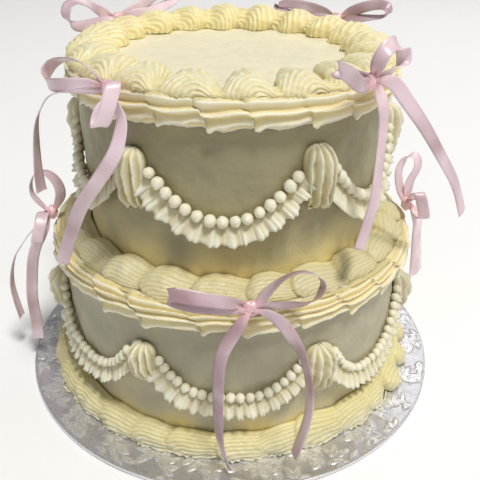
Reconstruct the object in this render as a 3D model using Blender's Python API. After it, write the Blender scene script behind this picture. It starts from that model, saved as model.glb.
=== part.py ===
"""A two-tier round celebration cake in pale yellow buttercream, on its foil covered board.

Each tier is iced smooth and carries piped borders, swags of pearls with a frill below them, upright drops
between the swags, and bows of narrow satin ribbon. Metres, +Z up, the front faces -Y, and the origin is the
middle of the board's underside. An azimuth is in degrees from the front, positive towards +X.
"""

import math

import bmesh
import bpy
from mathutils import Matrix, Vector

INCH = 0.0254
MM = 0.001
GAP = 0.3 * MM

# Board and tiers
BOARD_RADIUS = 5.0 * INCH
BOARD_THICKNESS = 3.0 * MM
BOARD_EDGE = 0.7 * MM
LOWER_RADIUS = 99.5 * MM
LOWER_HEIGHT = 89.0 * MM
UPPER_RADIUS = 82.0 * MM
UPPER_HEIGHT = 93.7 * MM
ROUND_SIDES = 52

LOWER_FLOOR = BOARD_THICKNESS + GAP
LEDGE = LOWER_FLOOR + LOWER_HEIGHT
UPPER_FLOOR = LEDGE + GAP
UPPER_TOP = UPPER_FLOOR + UPPER_HEIGHT

# Piped borders: how many shells, and how far each one reaches from its wall and stands above its floor
BASE_SHELLS, BASE_REACH, BASE_HEIGHT = 20, 13.5 * MM, 17.0 * MM
LEDGE_SHELLS, LEDGE_REACH, LEDGE_BORDER_HEIGHT = 18, 15.6 * MM, 13.0 * MM
SCROLLS, SCROLL_RADIUS, SCROLL_HALF_WIDTH = 20, 70.6 * MM, 12.2 * MM
SCROLL_CENTRE_HEIGHT, SCROLL_HALF_HEIGHT = 4.6 * MM, 8.0 * MM
TOP_TRIM_UNITS, LEDGE_TRIM_UNITS = 24, 26
TRIM_REACH, TRIM_HALF_HEIGHT = 5.0 * MM, 7.0 * MM
TRIM_RISE = 1.2 * MM  # how far a trim stands above the edge it hides

# Swags and drops
UPPER_SWAGS, UPPER_START, UPPER_PEARL = 6, -33.0, 3.05 * MM
LOWER_SWAGS, LOWER_START, LOWER_PEARL = 7, -25.7, 2.6 * MM
UPPER_SWAG_TOP, LOWER_SWAG_TOP = 152.5 * MM, 60.0 * MM
UPPER_SWAG_BOTTOMS = (129.5, 127.5, 130.0, 128.5, 130.5, 128.0)  # millimetres, from the front round to +X
LOWER_SWAG_BOTTOMS = (39.2, 35.0, 36.5, 38.0, 37.0, 35.5, 38.0)
UPPER_SAG_POWER, LOWER_SAG_POWER = 2.0, 3.0
FRILL_DROP, FRILL_REACH = 9.8 * MM, 7.2 * MM
DROP_HALF_WIDTH, DROP_REACH = 8.2 * MM, 13.0 * MM
UPPER_DROP_TOPS = (159.8, 163.8, 162.0, 161.0, 162.5, 160.5)
LOWER_DROP_TOPS = (67.0, 65.0, 64.5, 66.0, 67.0, 65.5, 66.5)
UPPER_DROP_LENGTH, LOWER_DROP_LENGTH = 31.0 * MM, 26.5 * MM

# Satin ribbon
RIBBON_WIDTH, RIBBON_THICKNESS = 6.5 * MM, 0.5 * MM
KNOT_SIZE = (8.6 * MM, 6.3 * MM, 8.1 * MM)


def material(name, colour, roughness, metallic=0.0):
    made = bpy.data.materials.new(name)
    made.use_nodes = True
    shader = made.node_tree.nodes["Principled BSDF"]
    shader.inputs["Base Color"].default_value = (*colour, 1.0)
    shader.inputs["Roughness"].default_value = roughness
    shader.inputs["Metallic"].default_value = metallic
    return made


def add_object(name, mesh, finish, smooth_angle=50.0):
    made = bpy.data.objects.new(name, mesh)
    bpy.context.scene.collection.objects.link(made)
    mesh.materials.append(finish)
    mesh.shade_smooth()
    mesh.set_sharp_from_angle(angle=math.radians(smooth_angle))
    return made


def at(azimuth, radius, height):
    """A point given by its azimuth in degrees, its distance from the axis and its height."""
    turn = math.radians(azimuth)
    return Vector((radius * math.sin(turn), -radius * math.cos(turn), height))


def loft(name, loops, finish, closed_round=False, twisted=False):
    """A solid skin over loops of points that all have the same count. Open lofts get flat caps.

    A twisted strip is split into triangles whose diagonals match on its two sides, which keeps it even.
    """
    count = len(loops[0])
    points = [point for loop in loops for point in loop]
    faces = []
    bands = len(loops) if closed_round else len(loops) - 1
    for band in range(bands):
        here, there = band * count, (band + 1) % len(loops) * count
        for side in range(count):
            ahead = (side + 1) % count
            corners = (here + side, here + ahead, there + ahead, there + side)
            if not twisted:
                faces.append(corners)
            elif side < 2:
                faces.append((corners[0], corners[1], corners[2]))
                faces.append((corners[0], corners[2], corners[3]))
            else:
                faces.append((corners[0], corners[1], corners[3]))
                faces.append((corners[1], corners[2], corners[3]))
    if not closed_round:
        last = (len(loops) - 1) * count
        faces.append(tuple(reversed(range(count))))
        faces.append(tuple(range(last, last + count)))
    mesh = bpy.data.meshes.new(name)
    mesh.from_pydata([tuple(point) for point in points], [], faces)
    skin = bmesh.new()
    skin.from_mesh(mesh)
    bmesh.ops.recalc_face_normals(skin, faces=skin.faces)
    skin.to_mesh(mesh)
    skin.free()
    return add_object(name, mesh, finish)


def disc(name, radius, height, floor, finish):
    """A round block standing on floor."""
    bpy.ops.mesh.primitive_cylinder_add(
        vertices=ROUND_SIDES, radius=radius, depth=height, location=(0.0, 0.0, floor + height / 2)
    )
    made = bpy.context.object
    made.name = name
    made.data.name = name
    made.data.materials.append(finish)
    made.data.shade_smooth()
    made.data.set_sharp_from_angle(angle=math.radians(50.0))
    return made


def ease_rims(block, width):
    rim = block.modifiers.new("eased rims", "BEVEL")
    rim.width = width
    rim.segments = 1
    rim.limit_method = "ANGLE"
    rim.angle_limit = math.radians(60.0)


def shell_stations():
    """(place along the shell from 0 to 1, size of the shell there): a fat head that thins to a tail."""
    return ((0.0, 0.78), (0.20, 1.06), (0.62, 0.97))


def border(name, units, section, finish, stations=None, first=0.0):
    """A ring of piped units round the axis. section(azimuth, place, size) gives (radius, height) points."""
    loops = []
    for unit in range(units):
        for place, size in stations or shell_stations():
            azimuth = first + 360.0 * (unit + place) / units
            loops.append([at(azimuth, radius, height) for radius, height in section(azimuth, place, size)])
    return loft(name, loops, finish, closed_round=True)


def corner_section(wall, floor, reach, height, size):
    """A ridged quarter round in the corner of a wall and a floor, in order from the corner outwards."""
    points = [(wall, floor)]
    ridges = 5
    for step in range(ridges + 1):
        turn = math.pi / 2 * step / ridges
        ridge = 1.0 if step % 2 == 0 else 1.07
        across = reach * size * ridge * math.cos(turn) ** 0.8
        up = height * size * ridge * math.sin(turn) ** 0.9
        points.append((wall + max(across, 0.0), floor + up))
    return points


def scroll_section(azimuth, place, size):
    """The hump of a scroll on the flat top, cut level where it lies on the icing."""
    taller_at_back = 0.77 - 0.19 * math.cos(math.radians(azimuth))
    angles = (-38, 10, 50, 90, 130, 170, 218)
    points = []
    for step, angle in enumerate(angles):
        turn = math.radians(angle)
        ridge = 1.0 if step % 2 == 0 else 1.05
        radius = SCROLL_RADIUS + SCROLL_HALF_WIDTH * ridge * math.cos(turn) * (0.55 + 0.45 * size)
        up = SCROLL_CENTRE_HEIGHT + SCROLL_HALF_HEIGHT * ridge * math.sin(turn)
        points.append((radius, UPPER_TOP + GAP + max(up, 0.0) * size * taller_at_back))
    return points


def trim_section(wall, edge_height, size, droop):
    """Three rounded lips, one above another, on a tier's side just below its edge."""
    middle = edge_height + TRIM_RISE - TRIM_HALF_HEIGHT
    outline = ((0.0, -0.9), (0.70, -1.0 - droop), (0.55, -0.45), (1.0, 0.0), (0.84, 0.82), (0.0, 1.0))
    return [
        (wall + GAP + TRIM_REACH * out * size, middle + TRIM_HALF_HEIGHT * up)
        for out, up in outline
    ]


def swag_stations(path, pearl):
    """Places from 0 to 1 along path, two for each pearl: the neck before it and its middle."""
    steps = 400
    lengths = [0.0]
    for step in range(steps):
        lengths.append(lengths[-1] + (path((step + 1) / steps) - path(step / steps)).length)
    pearls = round(lengths[-1] / (2.0 * pearl))
    places = []
    for half in range(2 * pearls + 1):
        target = lengths[-1] * half / (2 * pearls)
        step = next(i for i, length in enumerate(lengths) if length >= target - 1e-9)
        places.append(step / steps)
    return places


def swag(name, wall, first, last, top, bottom, power, pearl, finish):
    """A string of pearls that hangs between two azimuths, with a waved frill under it, on the tier's side."""
    inner = wall + GAP

    def height(place):
        return bottom + (top - bottom) * abs(2.0 * place - 1.0) ** power

    def path(place):
        return at(first + (last - first) * place, inner + pearl, height(place))

    loops = []
    step = 0.01
    for index, place in enumerate(swag_stations(path, pearl)):
        azimuth = first + (last - first) * place
        low, high = max(place - step, 0.0), min(place + step, 1.0)
        run = path(high) - path(low)
        steepness = 1.0 / max(math.hypot(run.x, run.y) / run.length, 0.6)
        belly = index % 2 == 1
        bead = pearl * (1.0 if belly else 0.62)
        wave = 1.0 if belly else 0.62
        section = (
            (0.0, -bead * steepness),
            (2.0 * bead, -0.2 * bead * steepness),
            (0.9 * bead, 0.95 * bead * steepness),
            (FRILL_REACH * wave, FRILL_DROP),
            (0.0, pearl * 1.9),
        )
        middle = height(place)
        loops.append([at(azimuth, inner + out, middle - down) for out, down in section])
    return loft(name, loops, finish)


def drop(name, wall, azimuth, top, length, finish):
    """An upright ridged shell: a rounded head above and a tapering tail below."""
    stations = ((0.0, 0.42, 0.30), (0.16, 0.92, 0.88), (0.42, 1.0, 1.0), (0.72, 0.84, 0.72), (1.0, 0.45, 0.26))
    outline = ((-1.0, 0.0), (-0.86, 0.62), (-0.34, 0.86), (0.0, 1.0), (0.34, 0.86), (0.86, 0.62), (1.0, 0.0), (0.0, 0.0))
    inner = wall + GAP
    loops = []
    for place, wide, deep in stations:
        loop = []
        for across, out in outline:
            radius = inner + DROP_REACH * deep * out
            turn = math.degrees(DROP_HALF_WIDTH * wide * across / radius)
            loop.append(at(azimuth + turn, radius, top - length * place))
        loops.append(loop)
    return loft(name, loops, finish)


def spline(points, place):
    """A point on the smooth curve through points, at place from 0 to 1."""
    spans = len(points) - 1
    span = min(int(place * spans), spans - 1)
    t = place * spans - span
    before, start, end, after = (points[min(max(span + k, 0), spans)] for k in (-1, 0, 1, 2))
    return 0.5 * (
        2.0 * start
        + (end - before) * t
        + (2.0 * before - 5.0 * start + 4.0 * end - after) * t ** 2
        + (3.0 * start - before - 3.0 * end + after) * t ** 3
    )


def ribbon(name, route, widths, stations, finish):
    """A flat strip along route. widths are directions across the strip, spread evenly from start to end.

    Both are given along the rim, outwards and up, as for a knot at the front, where outwards is -Y.
    """
    route = [Vector((along, -out, up)) * MM for along, out, up in route]
    widths = [Vector((along, -out, up)) for along, out, up in widths]
    step = 0.5 / (len(route) * 8)
    loops = []
    before = widths[0]
    for index in range(stations):
        place = index / (stations - 1)
        along = spline(route, min(place + step, 1.0)) - spline(route, max(place - step, 0.0))
        along.normalize()
        across = spline(widths, place)
        across = (across - along * across.dot(along)).normalized()
        if across.dot(before) < 0.0:
            across.negate()
        before = across
        face = along.cross(across)
        side, front = across * RIBBON_WIDTH / 2, face * RIBBON_THICKNESS / 2
        centre = spline(route, place)
        loops.append([centre - side - front, centre + side - front, centre + side + front, centre - side + front])
    return loft(name, loops, finish, twisted=True)


# Each strand of a bow: its route in millimetres from the knot, along the rim, outwards and up, then the
# directions across the ribbon, in the same three. Loops start and end in the knot.
FACING_OUT = ((0, 0, 1), (0, 0.3, 1), (0, 0.8, 0.6), (0, 1, 0.3), (0, 0.5, 1))
HANGING = ((0.7, 0.7, 0), (1, 0.3, 0), (1, 0, 0), (1, 0, 0))

FRONT_LEFT_BOW = (
    (((-1, 1, 0), (-10, 5, 1), (-20, 8, 0), (-29, 8, -1), (-34, 5, 1), (-32, 2, 6), (-25, 1, 9), (-13, 1, 9), (-2, 0, 2)),
     ((0, 0, 1), (0, 0.2, 1), (0.1, 0.5, 0.9), (0.2, 0.9, 0.4), (0, 0.7, 0.7))),
    (((1, 0, 1), (6, 6, 4), (8, 13, 4), (7, 16, -3), (5, 12, -9), (1, 1, -2)),
     ((1, 0.2, 0), (1, 0, 0), (1, 0, 0.1), (1, 0, 0))),
    (((1, 1, 0), (8, 5, -9), (10, 9, -15), (8, 12, -24), (1, 14, -36), (-8, 16, -50), (-17, 16, -66), (-29, 15, -88)),
     ((0.5, 1, 0), (0.6, 0.8, 0), (1, 0.2, 0), (1, 0, 0.1))),
    (((-1, 1, 0), (-17, 4, -3), (-29, 7, -6), (-35, 9, -13), (-39, 10, -22), (-41, 11, -42), (-41, 11, -54)),
     ((0, 0.4, 1), (0.3, 0.8, 0.6), (0.3, 1, 0), (0.6, 0.8, 0))),
)
FRONT_RIGHT_BOW = (
    (((0, 1, 1), (-2, 4, 8), (0, 5, 13), (6, 5, 16), (12, 5, 13), (14, 5, 8), (10, 4, 4), (1, 0, 0)),
     ((0.3, 1, 0), (0.7, 0.8, 0), (0.7, 0.3, -0.7), (0.4, 0.8, 0.6), (0, 0.5, 1))),
    (((0, 1, 0), (-14, 6, 2), (-24, 8, 8), (-29, 6, 11), (-25, 4, 8), (-13, 2, 5), (-1, 0, 1)),
     ((0, 0, 1), (0, 0.3, 1), (0, 0.7, 0.8), (0, 0.8, 0.6))),
    (((1, 1, 0), (3, 5, -8), (3, 7, -16), (1, 9, -27), (0, 10, -41), (-2, 11, -54), (-11, 13, -73)),
     ((1, 0.4, 0), (1, 0, 0), (1, 0, 0), (1, 0.2, 0))),
    (((1, 1, 1), (9, 5, -1), (15, 9, -9), (25, 14, -22), (38, 18, -39), (51, 20, -55), (62, 21, -74)),
     ((0.3, 0.6, 0.8), (0.8, 0.2, 0.5), (0.8, 0.1, 0.5), (1, 0.2, 0.3))),
)
FRONT_BOW = (
    (((-1, 0, 0), (-9, 5, 7), (-18, 7, 11), (-26, 7, 13), (-30, 5, 11), (-24, 3, 6), (-13, 2, 2), (-1, 1, -1)),
     ((0, 0.2, 1), (0, 0.5, 0.9), (0, 0.6, 0.9), (0, 1, 0.3), (0, 1, 0.2))),
    (((1, 0, 0), (19, 5, 6), (29, 8, 9), (35, 7, 14), (35, 3, 18), (28, 0, 20), (20, 0, 17), (12, 0, 10), (1, 0, 1)),
     ((0, 0.2, 1), (0, 0.5, 1), (0.3, 1, 0.2), (0, 1, 0.1), (0.6, 0.7, -0.2))),
    (((-1, 1, 0), (-4, 6, -7), (-8, 8, -21), (-9, 9, -40), (-9, 9, -60), (-8, 9, -74), (-4, 8, -92)),
     ((0.8, 0.5, 0), (1, 0.3, 0), (1, 0.2, 0), (0.5, 1, 0))),
    (((1, 1, 0), (16, 5, -2), (24, 8, -10), (30, 10, -22), (33, 12, -38), (33, 13, -54), (28, 13, -79)),
     ((0.3, 0.5, 0.8), (0.9, 0.1, 0.4), (0.5, 1, 0), (1, 0.2, 0), (1, 0.1, 0.2))),
)
LEFT_BOW = (
    (((0, -1, 1), (1, -6, 10), (0, -5, 18), (0, 0, 24), (1, 6, 24), (2, 9, 18), (3, 8, 11), (1, 1, 1)),
     ((0.5, 1, 0), (0.7, 0.7, 0), (1, 0.2, 0), (1, 0.1, 0), (1, 0, 0))),
    (((0, 1, 1), (8, 4, 3), (14, 5, -1), (16, 7, -7), (13, 8, -12), (1, 2, -1)),
     ((0, 1, 0), (0, 1, 0.1), (0, 1, 0), (0, 1, 0))),
    (((0, 1, 0), (0, 8, -8), (-1, 14, -13), (-2, 20, -21), (-3, 27, -32), (-3, 31, -50), (-3, 29, -74)),
     ((1, 0.3, 0.3), (1, 0.2, 0), (1, 0.1, 0), (1, 0.3, 0))),
    (((1, 2, 0), (7, 8, -12), (8, 13, -24), (8, 16, -39), (8, 18, -54), (8, 18, -71), (8, 19, -84)),
     ((0.4, 1, 0), (0.3, 1, 0), (0.2, 1, 0), (0.1, 1, 0))),
)
RIGHT_BOW = (
    (((1, 1, 1), (1, 0, 8), (2, 1, 15), (3, 4, 21), (4, 4, 26), (4, 1, 29), (4, -4, 27), (2, -7, 18), (0, -2, 1)),
     ((0.3, 1, 0), (0.5, 1, 0), (0.6, 0.8, 0), (0.6, 0.8, 0), (0.6, 0.8, 0))),
    (((0, 1, 1), (-8, 1, 8), (-13, 2, 13), (-16, 4, 8), (-14, 7, -3), (-1, 2, 0)),
     ((0, 1, 0), (0, 1, 0.1), (0, 1, 0), (0, 1, 0))),
    (((1, 1, 0), (2, 7, -7), (4, 10, -15), (5, 13, -26), (5, 15, -37), (5, 17, -50)),
     ((0.6, 0.8, 0), (0.7, 0.6, 0), (0.8, 0.6, 0), (0.8, 0.6, 0))),
    (((-1, 2, 0), (-4, 7, -9), (-4, 8, -20), (-5, 9, -33), (-6, 10, -47)),
     ((0.4, 1, 0), (0.5, 1, 0), (0.6, 1, 0), (0.5, 1, 0))),
)
BACK_LEFT_BOW = (
    (((1, 1, 0), (10, 4, 5), (16, 5, 9), (24, 5, 12), (32, 4, 11), (35, 3, 5), (30, 3, -1), (14, 2, -1), (1, 0, 0)),
     ((0, 0.2, 1), (0.2, 0.6, 0.8), (0.2, 1, 0.2), (0, 0.6, 0.8), (0, 0.3, 1))),
    (((-1, 1, 0), (-18, 4, 3), (-34, 5, 9), (-47, 5, 12), (-54, 4, 8), (-44, 3, 3), (-22, 2, 1), (-1, 0, 0)),
     ((0, 0.1, 1), (0, 0.3, 1), (0.2, 0.8, 0.5), (0, 0.4, 1))),
    (((1, 1, 0), (7, 6, -9), (9, 10, -20), (8, 12, -36), (6, 14, -54), (7, 15, -68)), HANGING),
    (((-1, 1, 0), (-8, 5, -7), (-13, 9, -17), (-16, 12, -32), (-16, 14, -48), (-18, 15, -60)), HANGING),
)
BACK_RIGHT_BOW = (
    (((1, 1, 0), (17, 4, 3), (32, 5, 4), (44, 5, 4), (50, 3, 2), (40, 3, -1), (20, 2, -1), (1, 0, 0)), FACING_OUT),
    (((-1, 1, 0), (-10, 4, 6), (-21, 5, 10), (-31, 4, 11), (-33, 3, 6), (-20, 3, 3), (-1, 0, 0)), FACING_OUT),
    (((1, 1, 0), (5, 6, -9), (8, 10, -20), (10, 12, -36), (9, 14, -54), (6, 15, -70)), HANGING),
    (((-1, 1, 0), (-7, 5, -7), (-12, 9, -17), (-14, 12, -32), (-17, 14, -48), (-16, 15, -58)), HANGING),
)

# Azimuth, radius and height of each bow's knot
TOP_BOWS = (
    (-34.5, 90.9 * MM, 187.0 * MM, FRONT_LEFT_BOW),
    (40.0, 90.9 * MM, 190.0 * MM, FRONT_RIGHT_BOW),
    (136.0, 90.9 * MM, 192.0 * MM, BACK_RIGHT_BOW),
    (-130.0, 90.9 * MM, 192.0 * MM, BACK_LEFT_BOW),
)
LEDGE_BOWS = (
    (1.5, 108.4 * MM, 98.5 * MM, FRONT_BOW),
    (90.0, 104.3 * MM, 98.4 * MM, RIGHT_BOW),
    (180.0, 108.4 * MM, 98.5 * MM, FRONT_BOW),
    (-82.0, 104.3 * MM, 98.4 * MM, LEFT_BOW),
)
STRAND_STATIONS = (7, 7, 5, 5)


def bow(name, azimuth, radius, height, strands, finish):
    """Two loops and two tails that come out of one knot, joined to it as one solid."""
    pieces = [
        ribbon(f"{name}_strand_{index}", route, widths, STRAND_STATIONS[index], finish)
        for index, (route, widths) in enumerate(strands)
    ]
    gathered = bpy.data.collections.new(name + "_strands")
    bpy.context.scene.collection.children.link(gathered)
    for piece in pieces:
        bpy.context.scene.collection.objects.unlink(piece)
        gathered.objects.link(piece)
    bpy.ops.mesh.primitive_ico_sphere_add(subdivisions=1, radius=0.5)
    knot = bpy.context.object
    knot.name = name
    knot.data.transform(Matrix.Diagonal((*KNOT_SIZE, 1.0)))
    knot.data.materials.append(finish)
    union = knot.modifiers.new("tied together", "BOOLEAN")
    union.operation = "UNION"
    union.operand_type = "COLLECTION"
    union.collection = gathered
    union.solver = "MANIFOLD"
    bpy.context.view_layer.update()
    tied = bpy.data.meshes.new_from_object(knot.evaluated_get(bpy.context.evaluated_depsgraph_get()))
    knot.modifiers.clear()
    knot.data = tied
    tied.name = name
    for piece in pieces:
        bpy.data.objects.remove(piece)
    bpy.data.collections.remove(gathered)
    knot.location = at(azimuth, radius, height)
    knot.rotation_euler = (0.0, 0.0, math.radians(azimuth))
    return knot


def main():
    for old in list(bpy.data.objects):
        bpy.data.objects.remove(old)
    smooth = material("smooth_buttercream", (0.80, 0.75, 0.55), 0.5)
    piping = material("piped_buttercream", (0.86, 0.78, 0.50), 0.45)
    foil = material("embossed_foil", (0.80, 0.80, 0.82), 0.25, 1.0)
    satin = material("satin_ribbon", (0.85, 0.62, 0.68), 0.35)

    board = disc("board", BOARD_RADIUS, BOARD_THICKNESS, 0.0, foil)
    ease_rims(board, BOARD_EDGE)
    disc("lower_tier", LOWER_RADIUS, LOWER_HEIGHT, LOWER_FLOOR, smooth)
    disc("upper_tier", UPPER_RADIUS, UPPER_HEIGHT, UPPER_FLOOR, smooth)

    def base_section(azimuth, place, size):
        return corner_section(LOWER_RADIUS + GAP, LOWER_FLOOR, BASE_REACH, BASE_HEIGHT, size)

    def ledge_section(azimuth, place, size):
        return corner_section(UPPER_RADIUS + GAP, LEDGE + GAP, LEDGE_REACH, LEDGE_BORDER_HEIGHT, size)

    def top_trim(azimuth, place, size):
        return trim_section(UPPER_RADIUS, UPPER_TOP, size, 0.10 * math.sin(math.radians(5 * azimuth)))

    def ledge_trim(azimuth, place, size):
        return trim_section(LOWER_RADIUS, LEDGE, size, 0.10 * math.sin(math.radians(4 * azimuth)))

    trim_stations = ((0.0, 0.86), (0.2, 1.06), (0.7, 0.96))
    scroll_stations = ((0.0, 0.66), (0.30, 1.02), (0.68, 1.0))
    border("base_border", BASE_SHELLS, base_section, piping)
    border("ledge_border", LEDGE_SHELLS, ledge_section, piping)
    border("ledge_trim", LEDGE_TRIM_UNITS, ledge_trim, piping, trim_stations)
    border("top_border", SCROLLS, scroll_section, piping, scroll_stations)
    border("top_trim", TOP_TRIM_UNITS, top_trim, piping, trim_stations)

    tiers = (
        ("upper", UPPER_RADIUS, UPPER_SWAGS, UPPER_START, UPPER_SWAG_TOP, UPPER_SWAG_BOTTOMS, UPPER_SAG_POWER,
         UPPER_PEARL, UPPER_DROP_TOPS, UPPER_DROP_LENGTH),
        ("lower", LOWER_RADIUS, LOWER_SWAGS, LOWER_START, LOWER_SWAG_TOP, LOWER_SWAG_BOTTOMS, LOWER_SAG_POWER,
         LOWER_PEARL, LOWER_DROP_TOPS, LOWER_DROP_LENGTH),
    )
    for tier, wall, count, start, swag_top, bottoms, power, pearl, drop_tops, drop_length in tiers:
        pitch = 360.0 / count
        aside = math.degrees((DROP_HALF_WIDTH + 2 * GAP) / wall)
        for index in range(count):
            azimuth = start + pitch * index
            swag(f"{tier}_swag_{index + 1}", wall, azimuth + aside, azimuth + pitch - aside, swag_top,
                 bottoms[index] * MM, power, pearl, piping)
            drop(f"{tier}_drop_{index + 1}", wall, azimuth, drop_tops[index] * MM, drop_length, piping)

    for index, (azimuth, radius, height, strands) in enumerate(TOP_BOWS):
        bow(f"top_bow_{index + 1}", azimuth, radius, height, strands, satin)
    for index, (azimuth, radius, height, strands) in enumerate(LEDGE_BOWS):
        bow(f"ledge_bow_{index + 1}", azimuth, radius, height, strands, satin)


main()
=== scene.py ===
import math

import bmesh
import bpy
import numpy as np
from mathutils import Matrix, Vector


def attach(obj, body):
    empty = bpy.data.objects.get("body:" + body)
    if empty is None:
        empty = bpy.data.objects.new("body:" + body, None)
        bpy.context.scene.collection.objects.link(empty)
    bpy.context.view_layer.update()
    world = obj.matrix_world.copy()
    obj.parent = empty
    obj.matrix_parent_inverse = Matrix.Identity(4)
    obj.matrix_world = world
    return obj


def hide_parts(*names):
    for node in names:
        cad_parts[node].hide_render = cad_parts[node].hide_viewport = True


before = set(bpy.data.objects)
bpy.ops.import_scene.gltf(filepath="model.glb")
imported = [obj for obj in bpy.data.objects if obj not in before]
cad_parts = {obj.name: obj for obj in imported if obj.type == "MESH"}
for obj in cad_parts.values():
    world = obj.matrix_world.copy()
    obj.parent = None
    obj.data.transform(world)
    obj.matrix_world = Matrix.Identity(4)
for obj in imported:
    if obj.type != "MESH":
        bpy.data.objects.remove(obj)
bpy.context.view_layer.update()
print("frame loaded with", len(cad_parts), "nodes")


# Camera, floor and lights
view = {
    "place": (0.0, -0.3255, 0.2582),
    "pitch": 0.5189,   # radians below the horizon
    "yaw": 0.0152,
    "roll": 0.0153,
    "lens": 45.41,
}
forward = Vector((
    math.sin(view["yaw"]) * math.cos(view["pitch"]),
    math.cos(view["yaw"]) * math.cos(view["pitch"]),
    -math.sin(view["pitch"]),
))
level = forward.cross(Vector((0, 0, 1))).normalized()
upright = level.cross(forward)
right = level * math.cos(view["roll"]) + upright * math.sin(view["roll"])
above = upright * math.cos(view["roll"]) - level * math.sin(view["roll"])
cameraData = bpy.data.cameras.new("photoCamera")
cameraData.lens = view["lens"]
cameraData.clip_start = 0.01
camera = bpy.data.objects.new("photoCamera", cameraData)
facing = Matrix((right, above, -forward)).transposed().to_4x4()
camera.matrix_world = Matrix.Translation(view["place"]) @ facing
bpy.context.scene.collection.objects.link(camera)
bpy.context.scene.camera = camera

studio = {
    "world": (0.96, 0.96, 0.98),
    "worldStrength": 0.20,
    # name: place, what it points at, width and depth, watts, colour
    "lights": {
        "overhead": ((2.05, -3.05, 9.6), (0.0, 0.0, 0.12), (1.9, 1.9), 855.0, (1.0, 0.985, 0.94)),
        "frontFill": ((-0.85, -1.15, 0.95), (0.0, 0.0, 0.10), (0.9, 0.9), 1.4, (0.97, 0.98, 1.0)),
        "rightFill": ((1.25, -0.35, 0.75), (0.0, 0.0, 0.14), (0.7, 0.7), 2.6, (1.0, 0.90, 0.74)),
        "backRight": ((0.74, 1.38, 1.35), (0.08, 0.0, 0.05), (1.1, 0.9), 4.0, (1.0, 1.0, 1.0)),
        "backLeft": ((-1.20, 1.10, 0.90), (0.0, 0.0, 0.10), (0.8, 0.8), 0.4, (1.0, 0.94, 0.86)),
    },
    "floor": (0.92, 0.92, 0.93),
    "floorRoughness": 0.6,
}


def feed(socket, value):
    # sets a socket to a number or a colour, or leads another node's output into it
    if isinstance(value, bpy.types.NodeSocket):
        socket.id_data.links.new(value, socket)
    elif isinstance(value, tuple) and len(socket.default_value) == 4:
        socket.default_value = (*value, 1)
    else:
        socket.default_value = value


def setInputs(node, values):
    for label, value in values.items():
        feed(node.inputs[label], value)


def startMaterial(name):
    made = bpy.data.materials.new(name)
    made.use_nodes = True
    return made, made.node_tree.nodes["Principled BSDF"]


world = bpy.data.worlds.new("paleStudio")
world.use_nodes = True
background = world.node_tree.nodes["Background"]
setInputs(background, {"Color": studio["world"], "Strength": studio["worldStrength"]})
bpy.context.scene.world = world
bpy.context.scene.view_settings.view_transform = "Standard"
for name, (place, target, size, watts, colour) in studio["lights"].items():
    lamp = bpy.data.lights.new(name, "AREA")
    lamp.shape = "RECTANGLE"
    lamp.size, lamp.size_y = size
    lamp.energy = watts
    lamp.color = colour
    holder = bpy.data.objects.new(name, lamp)
    holder.location = place
    holder.rotation_euler = (Vector(target) - Vector(place)).to_track_quat("-Z", "Y").to_euler()
    bpy.context.scene.collection.objects.link(holder)
floorMesh = bpy.data.meshes.new("floor")
floorMesh.from_pydata([(-4, -4, 0), (4, -4, 0), (4, 4, 0), (-4, 4, 0)], [], [(0, 1, 2, 3)])
floor = bpy.data.objects.new("floor", floorMesh)
floorMaterial, floorShader = startMaterial("paleFloor")
setInputs(floorShader, {"Base Color": studio["floor"], "Roughness": studio["floorRoughness"]})
floorMesh.materials.append(floorMaterial)
bpy.context.scene.collection.objects.link(floor)
print("camera, lights and floor are in place")


# Shapes. Everything below is in millimetres until joinPiece turns it into metres.
cake = {
    "boardRadius": 127.0, "boardThickness": 3.0,
    "lowerRadius": 99.5, "lowerFloor": 3.3, "ledge": 92.3,
    "upperRadius": 82.0, "upperFloor": 92.6, "top": 186.3,
    "gap": 0.3,
}


def around(azimuth, radius, height):
    # azimuth in degrees from the front, towards +X
    turn = np.radians(azimuth)
    return np.stack(np.broadcast_arrays(radius * np.sin(turn), -radius * np.cos(turn), height), axis=-1)


def smoothStep(x, low=0.0, high=1.0):
    t = np.clip((x - low) / (high - low), 0, 1)
    return t * t * (3 - 2 * t)


def ringWander(azimuth, seed, waves=7):
    # a soft random line that closes on itself round the cake, about -1 to 1
    draw = np.random.default_rng(seed)
    turn = np.radians(azimuth)
    total = 0 * turn
    for wave in range(1, waves + 1):
        total = total + draw.normal() * np.cos(wave * turn + draw.uniform(0, 2 * math.pi))
    return total / waves ** 0.5


def cloud(points, size, seed, waves=14):
    # cheap smooth noise in space, about -1 to 1, with lumps of that size
    draw = np.random.default_rng(seed)
    ways = draw.normal(size=(waves, 3))
    ways /= np.linalg.norm(ways, axis=1)[:, None]
    ways *= 2 * math.pi / size * draw.uniform(0.55, 1.5, (waves, 1))
    return np.sin(points @ ways.T + draw.uniform(0, 6.28, waves)).sum(-1) * 1.3 / waves ** 0.5


def lengthAlong(points):
    # how far along a line each of its points is
    return np.concatenate([[0], np.cumsum(np.linalg.norm(np.diff(points, axis=0), axis=1))])


def ballAngles(rings, sides, hole):
    # angles from pole to pole in a column, stopping short of both, and angles round the axis in a row
    polar = np.linspace(hole, math.pi - hole, rings)[:, None]
    return polar, np.linspace(0, 2 * math.pi, sides, endpoint=False)[None, :]


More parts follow.
